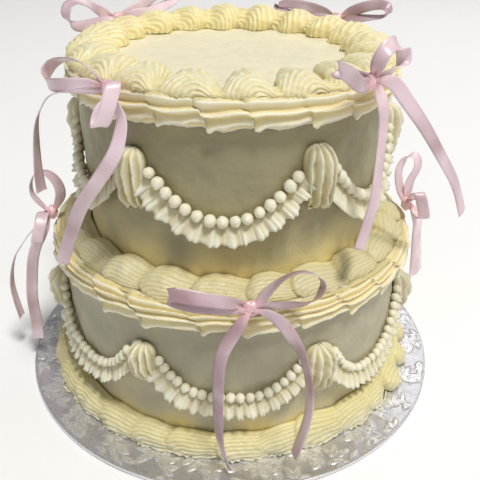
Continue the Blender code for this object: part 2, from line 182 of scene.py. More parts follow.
def gridPatch(grid, closedAlong=False, closedAcross=False, capped=False, **masks):
    # grid[along, across] as a skin of four-sided faces; masks are per-point values for the materials
    rows, columns = grid.shape[:2]
    index = np.arange(rows * columns).reshape(rows, columns)
    if closedAlong:
        index = np.vstack([index, index[:1]])
    if closedAcross:
        index = np.hstack([index, index[:, :1]])
    corners = [index[:-1, :-1], index[1:, :-1], index[1:, 1:], index[:-1, 1:]]
    faces = np.stack(corners, axis=-1).reshape(-1, 4).tolist()
    points = grid.reshape(-1, 3)
    values = {name: np.broadcast_to(mask, (rows, columns)).reshape(-1) for name, mask in masks.items()}
    if capped:
        for row in (0, rows - 1):
            centre = len(points)
            points = np.vstack([points, grid[row].mean(0)])
            values = {name: np.append(mask, mask[row * columns]) for name, mask in values.items()}
            ring = index[row].tolist()
            sides = len(ring) - 1 if closedAcross else len(ring)
            faces += [(ring[k], ring[(k + 1) % len(ring)], centre) for k in range(sides)]
    return points, faces, values


def closeRings(patch, rings):
    # a flat face inside the first ring round the cake, and one inside the last
    points, faces, values = patch
    columns = len(points) // rings
    starts = np.arange(rings) * columns
    return points, faces + [starts.tolist()[::-1], (starts + columns - 1).tolist()], values


def joinPiece(name, patches, material, nodes):
    points, faces, values = [], [], {}
    start = 0
    maskNames = sorted({mask for patch in patches for mask in patch[2]})
    for patchPoints, patchFaces, patchValues in patches:
        points.append(patchPoints)
        faces += [[corner + start for corner in face] for face in patchFaces] if start else patchFaces
        for mask in maskNames:
            values.setdefault(mask, []).append(patchValues.get(mask, np.zeros(len(patchPoints))))
        start += len(patchPoints)
    mesh = bpy.data.meshes.new(name)
    mesh.from_pydata((np.vstack(points) * 0.001).tolist(), [], faces)
    skin = bmesh.new()
    skin.from_mesh(mesh)
    bmesh.ops.recalc_face_normals(skin, faces=skin.faces)
    skin.to_mesh(mesh)
    skin.free()
    for mask in maskNames:
        layer = mesh.attributes.new(mask, "FLOAT", "POINT")
        layer.data.foreach_set("value", np.concatenate(values[mask]).astype(np.float32))
    mesh.shade_smooth()
    mesh.materials.append(material)
    piece = bpy.data.objects.new(name, mesh)
    bpy.context.scene.collection.objects.link(piece)
    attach(piece, "root")
    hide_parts(*nodes)


# Shader groups that more than one finish uses
def shaderGroup(name, inputs, outputs):
    # three numbers make a vector input, four a colour and one a plain value
    group = bpy.data.node_groups.new(name, "ShaderNodeTree")
    for label, value in inputs.items():
        kind = {3: "Vector", 4: "Color"}[len(value)] if isinstance(value, tuple) else "Float"
        socket = group.interface.new_socket(label, in_out="INPUT", socket_type="NodeSocket" + kind)
        socket.default_value = value
    for label, kind in outputs.items():
        group.interface.new_socket(label, in_out="OUTPUT", socket_type="NodeSocket" + kind)
    return group, group.nodes.new("NodeGroupInput").outputs, group.nodes.new("NodeGroupOutput")


def mathNode(tree, operation, first, second, clamp=False):
    node = tree.nodes.new("ShaderNodeMath")
    node.operation = operation
    node.use_clamp = clamp
    feed(node.inputs[0], first)
    feed(node.inputs[1], second)
    return node.outputs[0]


def mixColour(tree, factor, first, second):
    node = tree.nodes.new("ShaderNodeMix")
    node.data_type = "RGBA"
    setInputs(node, {"Factor": factor, "A": first, "B": second})
    return node.outputs["Result"]


def noiseNode(tree, vector, scale, detail=3.0, roughness=0.5):
    node = tree.nodes.new("ShaderNodeTexNoise")
    setInputs(node, {"Vector": vector, "Scale": scale, "Detail": detail, "Roughness": roughness})
    return node.outputs["Fac"]


def makeCreamTone():
    # painted shade: cream on the ridges, a darker, deeper yellow down in the grooves and crevices where shade
    # falls, with soft patches of both
    group, given, outside = shaderGroup("creamTone", {
        "Vector": (0, 0, 0), "Ridge": 1.0, "Lit Ridge Color": (1, 1, 1, 1), "Shaded Groove Color": (1, 1, 1, 1),
        "Patchiness": 0.2, "Warmth": 0.0, "Warm Color": (1, 1, 1, 1),
    }, {"Color": "Color"})
    patches = noiseNode(group, given["Vector"], 38.0, 2.0)     # about 26 mm wide
    shift = mathNode(group, "MULTIPLY", mathNode(group, "SUBTRACT", patches, 0.5), given["Patchiness"])
    level = mathNode(group, "ADD", given["Ridge"], shift, clamp=True)
    warmth = mathNode(group, "ADD", given["Warmth"], mathNode(group, "MULTIPLY", shift, 1.5), clamp=True)
    ridge = mixColour(group, warmth, given["Lit Ridge Color"], given["Warm Color"])
    setInputs(outside, {"Color": mixColour(group, level, given["Shaded Groove Color"], ridge)})
    return group


def makeCreamGrain():
    # the fine pits and drag marks of whipped butter
    group, given, outside = shaderGroup("creamGrain", {"Vector": (0, 0, 0), "Fineness": 900.0, "Lumps": 0.4},
                                        {"Height": "Float", "Sheen": "Float"})
    fine = noiseNode(group, given["Vector"], given["Fineness"], 4.0, 0.6)
    coarse = noiseNode(group, given["Vector"], 130.0, 3.0)     # about 8 mm wide
    height = mathNode(group, "ADD", fine, mathNode(group, "MULTIPLY", coarse, given["Lumps"]))
    setInputs(outside, {"Height": height, "Sheen": coarse})
    return group


creamTone = makeCreamTone()
creamGrain = makeCreamGrain()


def useGroup(tree, group, values):
    node = tree.nodes.new("ShaderNodeGroup")
    node.node_tree = group
    setInputs(node, values)
    return node.outputs


def objectPlace(tree):
    return tree.nodes.new("ShaderNodeTexCoord").outputs["Object"]


def maskNode(tree, name):
    node = tree.nodes.new("ShaderNodeAttribute")
    node.attribute_name = name
    return node.outputs["Fac"]


def bumpNode(tree, height, strength, distance):
    node = tree.nodes.new("ShaderNodeBump")
    setInputs(node, {"Height": height, "Strength": strength, "Distance": distance})
    return node.outputs["Normal"]


def noiseBetween(tree, value, low, high):
    # noise stays mostly between 0.3 and 0.7
    node = tree.nodes.new("ShaderNodeMapRange")
    setInputs(node, {"Value": value, "From Min": 0.3, "From Max": 0.7, "To Min": low, "To Max": high})
    return node.outputs["Result"]


def creamMaterial(name, look):
    made, shader = startMaterial(name)
    tree = made.node_tree
    place = objectPlace(tree)
    tone = useGroup(tree, creamTone, {
        "Vector": place, "Ridge": maskNode(tree, "ridge"), "Warmth": maskNode(tree, "warmth"),
        "Lit Ridge Color": look["ridge"], "Shaded Groove Color": look["groove"], "Warm Color": look["warm"],
        "Patchiness": look["patchiness"],
    })
    grain = useGroup(tree, creamGrain, {
        "Vector": place, "Fineness": look["fineness"], "Lumps": look["lumps"],
    })
    setInputs(shader, {
        "Base Color": tone["Color"], "Roughness": noiseBetween(tree, grain["Sheen"], *look["roughness"]),
        "Normal": bumpNode(tree, grain["Height"], look["bump"], grainHeight),
        "Subsurface Weight": look["glow"], **butterInside,
    })
    return made


grainHeight = 0.0004     # metres, as for the light's way inside the butter
butterInside = {"Subsurface Radius": (0.85, 0.75, 0.35), "Subsurface Scale": 0.003, "IOR": 1.45}
# ridge, groove and warm are colours: groove is painted shade for grooves, crevices and shaded sides, ridge
# the lit colour; glow is how much light goes through the butter
pipedLook = {
    "patchiness": 0.35, "fineness": 1100.0, "lumps": 0.5,
    "roughness": (0.36, 0.5), "bump": 0.4, "glow": 0.35,
}
creamLooks = {
    # painted shade: on the walls the groove colour is the dark colour of their shaded sides, the ridge colour
    # that of the lit top
    "wallIcing": {
        "ridge": (0.90, 0.84, 0.63), "groove": (0.235, 0.222, 0.145), "warm": (0.90, 0.74, 0.32),
        "patchiness": 0.24, "fineness": 420.0, "lumps": 2.2,
        "roughness": (0.38, 0.55), "bump": 0.9, "glow": 0.10,
    },
    "topPiping": dict(pipedLook, ridge=(0.74, 0.71, 0.53), groove=(0.76, 0.65, 0.31),
                      warm=(0.92, 0.82, 0.47), bump=0.25),
    # painted shade: the ledge's copy of the piped cream is darker than the top's, for the shade the ledge
    # sits in
    "shadedLedgePiping": dict(pipedLook, ridge=(0.65, 0.615, 0.42), groove=(0.60, 0.515, 0.27),
                        warm=(0.69, 0.60, 0.30)),
    "basePiping": dict(pipedLook, ridge=(0.73, 0.71, 0.53), groove=(0.68, 0.58, 0.29),
                       warm=(0.75, 0.68, 0.35)),
    "trimPiping": dict(pipedLook, ridge=(0.95, 0.93, 0.79), groove=(0.74, 0.62, 0.30),
                       warm=(0.88, 0.81, 0.50), patchiness=0.3, glow=0.3),
    "swagPiping": dict(pipedLook, ridge=(0.79, 0.77, 0.62), groove=(0.53, 0.44, 0.19),
                       warm=(0.80, 0.74, 0.46), patchiness=0.3, glow=0.3, fineness=850.0, lumps=0.6,
                       roughness=(0.40, 0.55), bump=0.6),
}
wallIcing, topPiping, shadedLedgePiping, basePiping, trimPiping, swagPiping = (
    creamMaterial(*item) for item in creamLooks.items())


# Smoothed icing of the two tiers
icing = {
    "azimuthStep": 1.5, "topRings": 17, "edgeRings": 5, "wallRings": 36,
    "edge": 2.5, "wallWaver": 0.45, "topWaver": 0.22, "scraperLines": 0.12,
    "footLightReach": 15.0, "paintedFootLight": 0.6,
}
# how pale and how yellow each wall is, since the photo shows both in shade
lowerIcing = {"seed": 11, "shade": 0.25, "yellow": 0.0}
upperIcing = {"seed": 21, "shade": 0.12, "yellow": 1.0}


def icedTier(name, node, radius, floorHeight, topHeight, look):
    azimuth = np.arange(0, 360, icing["azimuthStep"])[:, None]
    edge, seed = icing["edge"], look["seed"]
    flat = [(r, topHeight) for r in np.linspace(0.5, radius - edge, icing["topRings"])]
    rounded = [(radius - edge + edge * math.sin(a), topHeight - edge + edge * math.cos(a))
               for a in np.linspace(0.3, 1.5708, icing["edgeRings"])]
    wall = [(radius, z) for z in np.linspace(topHeight - edge - 1.5, floorHeight, icing["wallRings"])]
    bottom = [(r, floorHeight) for r in (radius - 8, 2.0)]
    profile = np.array(flat + rounded + wall + bottom)
    across, up = profile[:, 0][None, :], profile[:, 1][None, :]
    points = around(azimuth, across, up)
    onTop = np.arange(len(profile))[None, :] < len(flat)
    waver = np.abs(cloud(points, 34.0, seed) + 0.4 * cloud(points, 9.0, seed + 1))
    lines = np.sin(up * 2.1 + 2 * cloud(points, 60.0, seed + 2)) * cloud(points, 18.0, seed + 3)
    # no bulge where another piece sits 0.3 mm away at the bottom
    keep = smoothStep(up, floorHeight, floorHeight + 4)
    sunk = waver * icing["wallWaver"] * keep + lines * icing["scraperLines"]
    radial = across - np.where(onTop, 0, sunk)
    height = up - np.where(onTop, waver * icing["topWaver"] * smoothStep(across, 0, 12), 0)
    # painted light: the wall is paler and yellower towards the piping at its foot, lifting the shade where
    # wall and piping meet
    foot = np.exp(-np.maximum(up - floorHeight - 8, 0) / icing["footLightReach"])
    foot = foot * (1 + 0.3 * cloud(points, 30.0, seed + 4))
    patch = gridPatch(around(azimuth, radial, height), closedAlong=True,
                      ridge=np.where(onTop, 0.9, look["shade"] + icing["paintedFootLight"] * foot),
                      warmth=np.where(onTop, 0, look["yellow"] + foot))
    joinPiece(name, [closeRings(patch, len(azimuth))], wallIcing, [node])


icedTier("lowerTierIcing", "lower_tier", cake["lowerRadius"], cake["lowerFloor"], cake["ledge"], lowerIcing)
icedTier("upperTierIcing", "upper_tier", cake["upperRadius"], cake["upperFloor"], cake["top"], upperIcing)
print("tiers are iced")


# Piped shells. A shell starts with a round head and draws out to a tail that the next head covers.
def ringGrid(shape):
    # azimuths round the cake in a column, and the way across the piping, from 0 to 1, in a row
    steps = shape["units"] * shape["steps"]
    return (np.arange(steps) * 360.0 / steps)[:, None], np.linspace(0, 1, shape["across"])[None, :]


def unitPlaces(azimuth, shape, shift):
    # which unit each azimuth falls in, and how far along it, from 0 to 1; shift slants or bows the joins
    draw = np.random.default_rng(shape["seed"])
    units, jitter = shape["units"], shape["jitter"]
    starts = shape["first"] + 360.0 * (np.arange(units) + draw.uniform(-jitter, jitter, units)) / units
    starts = np.sort(starts)
    ends = np.append(starts[1:], starts[0] + 360)
    turned = (azimuth + shift - starts[0]) % 360 + starts[0]
    unit = np.clip(np.searchsorted(starts, turned, side="right") - 1, 0, units - 1)
    return unit, (turned - starts[unit]) / (ends[unit] - starts[unit])


def shellSwell(place, shoulder, start=0.22):
    # how full the shell is: 1 at its shoulder, falling to nothing where the next head covers it
    rise = np.sqrt(np.clip(1 - (1 - np.clip(place / shoulder, 0, 1)) ** 2, 0, 1))
    fall = 0.5 + 0.5 * np.cos(math.pi * np.clip((place - shoulder) / (1 - shoulder), 0, 1))
    return np.where(place < shoulder, start + (1 - start) * rise, fall)


def unitSizes(shape, unit):
    # the size of each unit, and the random draw that its other odd values come from
    draw = np.random.default_rng(shape["seed"] + 1)
    return 1 + shape["uneven"] * draw.uniform(-1, 1, shape["units"])[unit], draw


def ridgeWave(phase, sharp):
    return (0.5 + 0.5 * np.cos(2 * math.pi * phase)) ** sharp


def aroundTable(azimuth, table):
    # a value read from a table of (azimuth, value) pairs
    return np.interp(azimuth % 360, *zip(*table))


def cornerBorder(name, node, wall, floorHeight, shape, material):
    azimuth, t = ringGrid(shape)     # t runs from the foot on the floor to the top on the wall
    pitch = 360.0 / shape["units"]
    bow = shape["bow"] * pitch * (1 - (2 * t - 1) ** 2) + shape["slant"] * pitch * (t - 0.5)
    unit, place = unitPlaces(azimuth + 0 * t, shape, bow)
    size, draw = unitSizes(shape, unit)
    turnRidge = draw.uniform(-0.25, 0.25, shape["units"])[unit]
    swell = shellSwell(place, shape["shoulder"])
    neck = aroundTable(azimuth, shape["neckReach"]) * (1 - swell)
    reach = aroundTable(azimuth, shape["reach"]) * (1 - neck) * size
    height = aroundTable(azimuth, shape["height"]) * (1 - shape["neckHeight"] * (1 - swell)) * size
    first, last = shape["sweep"]
    angle = np.radians(first + (last - first) * t)
    out = reach * np.sign(np.cos(angle)) * np.abs(np.cos(angle)) ** 0.82
    up = height * np.sin(angle) + shape["lift"]
    # ridges run along the shell and curl round its head down to the foot
    curl = np.clip((shape["curlTo"] - place) / shape["curlTo"], 0, 1) * shape["curlWidth"]
    phase = shape["ridges"] * np.sqrt((t + 0.02) ** 2 + curl ** 2) + turnRidge
    wave = ridgeWave(phase, shape["sharp"])
    ripple = 0.22 * np.cos(4 * math.pi * phase + 1.3 + unit)
    fade = 1 - smoothStep(t, 0.8, 1.0)
    depth = shape["depth"] * (0.7 + 0.3 * swell) * fade
    rough = around(azimuth, wall + out, floorHeight + up)
    lumps = 0.35 * cloud(rough, 11.0, shape["seed"] + 5) + 0.12 * cloud(rough, 3.5, shape["seed"] + 6)
    push = depth * (wave + ripple - 0.75) + lumps * shape["lumps"] * fade
    out = out + push * np.cos(angle)
    up = up + push * np.sin(angle)
    # a little beading where the foot meets the floor
    beads = np.exp(-(t / 0.09) ** 2) * shape["beading"]
    beads = beads * np.clip(np.sin(place * 2 * math.pi * 7 + unit), 0, 1)
    out = out + beads * (1 - smoothStep(place, 0.3, 0.6))
    up = np.maximum(up, 0.0)
    outer = around(azimuth, wall + np.maximum(out, 0.0), floorHeight + up)
    inner = around(azimuth, wall - 0.2, floorHeight + np.array([[0.6, 0.0]]) * height[:, :1])
    # painted shade: darker down the grooves, where each tail tucks under the next head, and at the start of
    # each shell
    mask = np.clip(0.1 + 1.1 * wave ** 0.7 - shape["creviceShade"] * smoothStep(place, 0.7, 1.0), 0, 1)
    mask = mask * (0.5 + 0.5 * smoothStep(place, 0, 0.05))
    warmth = np.interp(t + 0 * place, *zip(*shape["warmth"]))
    warmth = warmth + 0.15 * draw.uniform(-1, 1, shape["units"])[unit]
    # a thin skirt of smeared cream in front of the foot
    foot = np.maximum(out[:, :1], reach[:, :1] * 0.9)
    smear = 1 + 0.35 * cloud(around(azimuth, wall + foot, 0.0), 5.0, shape["seed"] + 8)
    rim = np.maximum(foot + shape["skirt"] * smear, shape["skirtTo"])
    grid = np.concatenate([around(azimuth, wall + rim, floorHeight),
                           around(azimuth, wall + rim - 0.3, floorHeight + 0.5),
                           around(azimuth, wall + foot + 0.2, floorHeight + 0.7), outer, inner], axis=1)
    mask, warmth = (np.concatenate([start + values[:, :3] * 0, values, values[:, -2:]], axis=1)
                    for start, values in zip(shape["skirtTone"], (mask, warmth)))
    patch = gridPatch(grid, closedAlong=True, closedAcross=True, ridge=mask, warmth=warmth)
    joinPiece(name, [patch], material, [node])


# steps are grid points along each shell and across those over it; reach, height and neckReach are tables by
# azimuth, and warmth is one from the foot of the shell to its top
ledgeBorder = {
    "units": 23, "first": 6.5, "jitter": 0.07, "seed": 31, "steps": 38, "across": 58,
    "reach": [(0, 15.6), (90, 16.2), (270, 16.2), (360, 15.6)],
    "height": [(0, 8.4), (90, 9.4), (270, 9.4), (360, 8.4)],
    "sweep": (-14, 90), "bow": 0.20, "slant": 0.10, "uneven": 0.07, "shoulder": 0.40,
    "neckReach": [(0, 0.10), (360, 0.10)], "neckHeight": 0.42, "creviceShade": 0.4,
    "warmth": [(0, 0.9), (0.25, 0.35), (0.7, 0.1), (1, 0.6)],
    "lift": 0.4, "skirt": 1.0, "skirtTo": 18.0, "skirtTone": (0.3, 0.8),
    "curlTo": 0.36, "curlWidth": 0.42, "ridges": 9.0, "sharp": 0.8, "depth": 0.31, "lumps": 0.9,
    "beading": 0.3,
}
baseBorder = {
    "units": 29, "first": -3.0, "jitter": 0.10, "seed": 41, "steps": 32, "across": 60,
    "reach": [(0, 9.6), (20, 8.8), (32, 9.6), (45, 10.6), (60, 13.2), (90, 14.4), (150, 12.8), (270, 13.6),
              (300, 12.2), (325, 11.6), (345, 10.0), (360, 9.6)],
    "height": [(0, 10.0), (12, 10.6), (22, 15.0), (33, 12.8), (60, 12.5), (90, 13.5), (150, 12.0),
               (270, 13.0), (300, 12.4), (330, 11.0), (360, 10.0)],
    "sweep": (-14, 90), "bow": 0.18, "slant": 0.06, "uneven": 0.06, "shoulder": 0.38,
    "neckReach": [(0, 0.08), (45, 0.12), (65, 0.34), (110, 0.30), (180, 0.15), (270, 0.08), (360, 0.08)],
    "neckHeight": 0.13, "creviceShade": 0.25,
    "warmth": [(0, 0.0), (0.22, 0.05), (0.5, 0.7), (1, 0.95)],
    "lift": 0.4, "skirt": 0.9, "skirtTo": 0.0, "skirtTone": (1.0, 0.0),
    "curlTo": 0.40, "curlWidth": 0.40, "ridges": 8.0, "sharp": 0.8, "depth": 0.48, "lumps": 1.1,
    "beading": 0.8,
}
cornerBorder("ledgeBorderPiping", "ledge_border", cake["upperRadius"] + cake["gap"],
             cake["ledge"] + cake["gap"], ledgeBorder, shadedLedgePiping)
cornerBorder("baseBorderPiping", "base_border", cake["lowerRadius"] + cake["gap"], cake["lowerFloor"],
             baseBorder, basePiping)
print("base and ledge borders are piped")


# Scrolls round the flat top
scrolls = {
    "units": 20, "first": -1.8, "jitter": 0.06, "seed": 51, "steps": 42, "across": 70,
    "outerFoot": 85.3, "halfWidth": 13.4, "front": 7.8, "back": 12.0, "sweep": (-32, 191),
    "bow": 0.12, "uneven": 0.06, "tailFront": 0.14, "tailBack": 0.72,
    "pivot": (0.60, 0.95), "arch": 1.15, "ridges": 6.0, "sharp": 0.8, "depth": 0.75,
}


def topScrolls():
    shape = scrolls
    azimuth, t = ringGrid(shape)     # t runs from the outer foot over the crest to the inner foot
    bow = shape["bow"] * (360.0 / shape["units"]) * (1 - (2 * t - 1) ** 2)
    unit, place = unitPlaces(azimuth + 0 * t, shape, bow)
    size, draw = unitSizes(shape, unit)
    turnRidge = draw.uniform(-0.25, 0.25, shape["units"])[unit]
    ahead = np.cos(np.radians(azimuth))
    tail = (shape["tailFront"] + shape["tailBack"]) / 2 + (shape["tailFront"] - shape["tailBack"]) / 2 * ahead
    dome = np.sqrt(np.clip(1 - ((place - 0.42) / 0.43) ** 2, 0, 1))
    swell = np.minimum((dome ** 5 + tail ** 5) ** 0.2, 1.04) * size
    middle, swing = (shape["front"] + shape["back"]) / 2, (shape["back"] - shape["front"]) / 2
    tall = middle - swing * ahead
    height = tall * (0.25 + 0.75 * swell)
    wide = shape["halfWidth"] * (0.30 + 0.70 * swell)
    centre = shape["outerFoot"] - wide - 0.8 * (1 - swell)
    first, last = shape["sweep"]
    angle = np.radians(first + (last - first) * t)
    fromFoot = 1 - np.abs(2 * t - 1)
    pivot = shape["pivot"][0] + (shape["pivot"][1] - shape["pivot"][0]) * smoothStep(t, 0.4, 0.75)
    arch = np.where(place < pivot, (pivot - place) / pivot, 0.8 * (place - pivot) / (1 - pivot))
    arch = arch * shape["arch"]
    phase = shape["ridges"] * np.sqrt((fromFoot + 0.02) ** 2 + arch ** 2) + turnRidge
    wave = ridgeWave(phase, shape["sharp"])
    ripple = 0.2 * np.cos(4 * math.pi * phase + 0.6 + unit)
    flatRadius = np.cos(angle) * wide
    up = 0.17 * height + 0.83 * height * np.sin(angle)
    rough = around(azimuth, centre + flatRadius, up)
    lumps = 0.3 * cloud(rough, 10.0, shape["seed"] + 5) + 0.12 * cloud(rough, 3.5, shape["seed"] + 6)
    push = shape["depth"] * (0.5 + 0.5 * swell) * (wave + ripple - 0.75) + lumps
    flatRadius = flatRadius + push * np.cos(angle)
    up = up + push * np.sin(angle)
    # it rests on the flat and, outside that, sinks into the trim
    radius = centre + flatRadius
    up = np.maximum(up, 0.05 - 3.2 * smoothStep(radius, cake["upperRadius"] - 1.0, cake["upperRadius"] + 2.0))
    outer = around(azimuth, radius, cake["top"] + up)
    # painted shade: darker down the grooves, where each tail tucks under the next head, and at the start of
    # each scroll
    mask = np.clip(0.1 + 1.1 * wave ** 0.7 - 0.5 * smoothStep(place, 0.7, 1.0), 0, 1)
    mask = mask * (0.5 + 0.5 * smoothStep(place, 0, 0.05))
    warmth = 0.30 - 0.35 * ahead + 0.75 * (1 - fromFoot) + 0.3 * smoothStep(place, 0.6, 1.0)
    patch = gridPatch(outer, closedAlong=True, closedAcross=True, ridge=mask, warmth=warmth)
    joinPiece("topScrollPiping", [patch], topPiping, ["top_border"])


topScrolls()
print("scrolls are piped round the top")


# Trims that hide the upper edge of each tier's side: a rope with three or four thin fins, drawn in strokes
def finnedTrim(name, node, wall, edgeHeight, shape):
    azimuth, t = ringGrid(shape)     # t runs from the flat on top, out and round to the wall below
    unit, place = unitPlaces(azimuth + 0 * t, shape, 360.0 / shape["units"] * shape["slant"] * (0.5 - t))
    size, draw = unitSizes(shape, unit)
    drop = draw.uniform(-0.5, 0.5, shape["units"])[unit]
    # the rope turns a little while it is drawn, so that each fin starts low and climbs
    twist = shape["twist"] * (place - 0.5) + drop * 5
    fins = np.array(shape["fins"], float)
    span = np.clip(t * (len(fins) - 1), 0, len(fins) - 1.0001)
    index = span.astype(int)
    between = span - index
    between = between + shape["gather"] * np.sin(2 * math.pi * between) / (2 * math.pi)
    angle = fins[index] + (fins[index + 1] - fins[index]) * between
    middle = np.sin(math.pi * t)
    angle = np.radians(angle + twist * middle ** 0.5)
    groove = np.sin(math.pi * between) ** shape["sharp"]
    rise = smoothStep(place, 0, 0.09)
    swell = (0.86 + 0.20 * rise * (1 - 0.65 * smoothStep(place, 0.25, 1.0))) * size
    rough = around(azimuth, wall + 3 * np.cos(angle), edgeHeight + 6 * np.sin(angle))
    ragged = 1 + 0.05 * cloud(rough, 12.0, shape["seed"] + 5) + 0.02 * cloud(rough, 3.5, shape["seed"] + 6)
    deep = np.interp(t, *zip(*shape["deep"]))
    radius = (1 - shape["grooves"] * groove * deep) * ragged * swell
    out = shape["centre"][0] + shape["reach"] * radius * np.sign(np.cos(angle)) * np.abs(np.cos(angle)) ** 0.7
    up = shape["centre"][1] + shape["halfHeight"] * radius * np.sin(angle)
    # the start of a stroke hangs as a curled tip from the lowest fin
    tip = np.exp(-(place / 0.17) ** 2) * np.exp(-((t - shape["lowFin"]) / 0.09) ** 2)
    up = up - shape["tip"] * tip + (1 - swell) * 1.2
    out = out + 0.35 * tip
    up = up + 0.35 * ringWander(azimuth, shape["seed"] + 3)
    up = up + 0.45 * np.sin(2 * math.pi * place + unit) * middle
    up = np.minimum(up, 1.35)
    # at the two ends the skin closes against the cake
    out = out * smoothStep(t, -0.01, 0.03) * (1 - smoothStep(t, 0.95, 1.0))
    out = out - 1.6 * (1 - smoothStep(t, 0, 0.07))
    outer = around(azimuth, wall + out, edgeHeight + up)
    inner = around(azimuth, wall - 0.1, edgeHeight + 0.5 * (up[:, :1] + up[:, -1:]))
    # painted shade: darker down the grooves between the fins and at the start of each stroke; the hidden
    # inner side gets the groove colour
    mask = np.clip(1.15 - 1.15 * groove, 0, 1) * (0.55 + 0.45 * rise)
    grid = np.concatenate([outer, inner], axis=1)
    mask = np.concatenate([mask, np.zeros((len(azimuth), 1))], axis=1)
    patch = gridPatch(grid, closedAlong=True, closedAcross=True, ridge=mask)
    joinPiece(name, [patch], trimPiping, [node])


topTrim = {
    "units": 23, "first": 5.0, "jitter": 0.13, "seed": 61, "steps": 30, "across": 54,
    "slant": 0.42, "uneven": 0.05,
    "fins": [100, 52, 3, -50, -88], "twist": 13.0, "gather": 0.35, "sharp": 0.55, "grooves": 0.54,
    "centre": (0.6, -6.6), "reach": 5.1, "halfHeight": 7.7, "lowFin": 0.74, "tip": 3.2,
    "deep": [(0, 0.1), (0.2, 0.3), (0.3, 1), (0.8, 1), (1, 0.2)],
}
ledgeTrim = dict(topTrim, units=25, first=2.0, seed=71, twist=15.0, slant=0.5, uneven=0.08, jitter=0.16,
                 centre=(0.6, -6.1), fins=[108, 76, 42, 3, -46, -88], lowFin=0.79, across=58, steps=28,
                 deep=[(0, 0.1), (0.18, 0.35), (0.3, 0.75), (0.45, 1), (0.8, 1), (1, 0.2)])
finnedTrim("topTrimPiping", "top_trim", cake["upperRadius"] + cake["gap"], cake["top"], topTrim)
finnedTrim("ledgeTrimPiping", "ledge_trim", cake["lowerRadius"] + cake["gap"], cake["ledge"], ledgeTrim)
print("trims are piped")


# Swags of pearls over a frill, and the upright drops between them
upperSwags = {
    "tier": "upper", "wall": cake["upperRadius"] + cake["gap"], "count": 6, "start": -33.0, "pearl": 3.05,
    "top": 152.5, "bottoms": (129.5, 127.5, 130.0, 128.5, 130.5, 128.0), "power": 2.0,
    "frillDrop": 9.8, "frillReach": 7.0, "pleats": (4.6, 9.0), "finePleats": (1.8, 3.2),
    "dropLength": 31.0, "dropTops": (159.8, 163.8, 162.0, 161.0, 162.5, 160.5),
    "dropSizes": (0.95, 1.0, 1.0, 0.97, 1.03, 1.0), "seed": 81,
}
lowerSwags = {
    "tier": "lower", "wall": cake["lowerRadius"] + cake["gap"], "count": 7, "start": -25.7, "pearl": 2.6,
    "top": 60.0, "bottoms": (39.2, 35.0, 36.5, 38.0, 37.0, 35.5, 38.0), "power": 3.0,
    "frillDrop": 8.7, "frillReach": 6.6, "pleats": (3.4, 6.4), "finePleats": (1.6, 2.8),
    "dropLength": 24.8, "dropTops": (66.0, 65.0, 64.5, 66.0, 67.0, 65.5, 66.5),
    "dropSizes": (0.90, 1.07, 1.0, 1.05, 1.08, 1.0, 1.05), "seed": 91,
}
# both tiers: how the pearls overlap and how far out they sit, as shares of their size, and the frill's grid
swagShape = {"overlap": 1.06, "pearlOut": 0.76, "frillStep": 0.38, "frillNarrowing": 0.22}
# the last three are the outline of a drop from its top to its lower end
dropShape = {
    "halfWidth": 7.3, "reach": 10.7, "ridges": 5, "depth": 3.9,
    "stations": [0, 0.03, 0.09, 0.2, 0.45, 0.7, 0.9, 1.0],
    "wide": [0.25, 0.62, 0.86, 1.0, 1.0, 0.97, 0.92, 0.86],
    "deep": [0.12, 0.48, 0.76, 0.96, 1.0, 0.90, 0.68, 0.42],
}


def pearlPatch(centre, outward, radius, draw):
    # a blob with the little peak that the nozzle leaves
    polar, turn = ballAngles(11, 16, 0.06)
    ball = [np.sin(polar) * np.cos(turn), np.sin(polar) * np.sin(turn), np.cos(polar)]
    ball = np.stack(np.broadcast_arrays(*ball), -1)
    peak = np.array([draw.uniform(-0.35, 0.35), draw.uniform(-0.5, 0.1), 1.0])
    peak /= np.linalg.norm(peak)
    nearPeak = np.exp(-(1 - ball @ peak) / 0.06)
    dents = 0.05 * np.sin(5 * turn + polar * 4 + draw.uniform(0, 6)) * np.sin(3 * polar + draw.uniform(0, 6))
    dents = dents + 0.03 * np.sin(3 * turn - polar * 7 + draw.uniform(0, 6))
    size = radius * (1 + 0.24 * nearPeak + dents + draw.uniform(-0.04, 0.03))
    ball = ball * size[..., None] * np.array([1.0, draw.uniform(0.93, 1.04), draw.uniform(0.9, 1.0)])
    side = np.cross([0, 0, 1.0], outward)
    points = centre + ball[..., :1] * side
    points = points + ball[..., 1:2] * np.array([0, 0, 1.0]) + ball[..., 2:3] * outward
    # painted shade: each pearl darker underneath and on its side towards the wall
    mask = np.clip(0.66 + 0.42 * ball[..., 2] / radius + 0.25 * ball[..., 1] / radius, 0, 1)
    return gridPatch(points, closedAcross=True, capped=True, ridge=mask)


def swagPath(shape, index):
    pitch = 360.0 / shape["count"]
    aside = math.degrees((dropShape["halfWidth"] + 0.6) / (shape["wall"] - cake["gap"]))
    first = shape["start"] + pitch * index + aside
    last = shape["start"] + pitch * (index + 1) - aside
    place = np.linspace(0, 1, 801)
    azimuth = first + (last - first) * place
    bottom = shape["bottoms"][index]
    height = bottom + (shape["top"] - bottom) * np.abs(2 * place - 1) ** shape["power"]
    return azimuth, height, lengthAlong(around(azimuth, shape["wall"] + shape["pearl"], height))


def pleatWave(along, widths, draw):
    # a saw of folds that are all of different width, sharpness and size: 0 in the creases and 1 on the crests
    folds = 120     # more than the longest frill has
    starts = np.concatenate([[0], np.cumsum(draw.uniform(*widths, folds))]) - draw.uniform(0, widths[1])
    turns = np.interp(along, starts, np.arange(folds + 1))
    whole = turns.astype(int)
    part = turns - whole
    peak = draw.uniform(0.25, 0.75, folds + 2)[whole]
    tall = draw.uniform(0.5, 1.15, folds + 2)
    wave = np.where(part < peak, part / peak, (1 - part) / (1 - peak))
    return wave, tall[whole] * (1 - part) + tall[whole + 1] * part


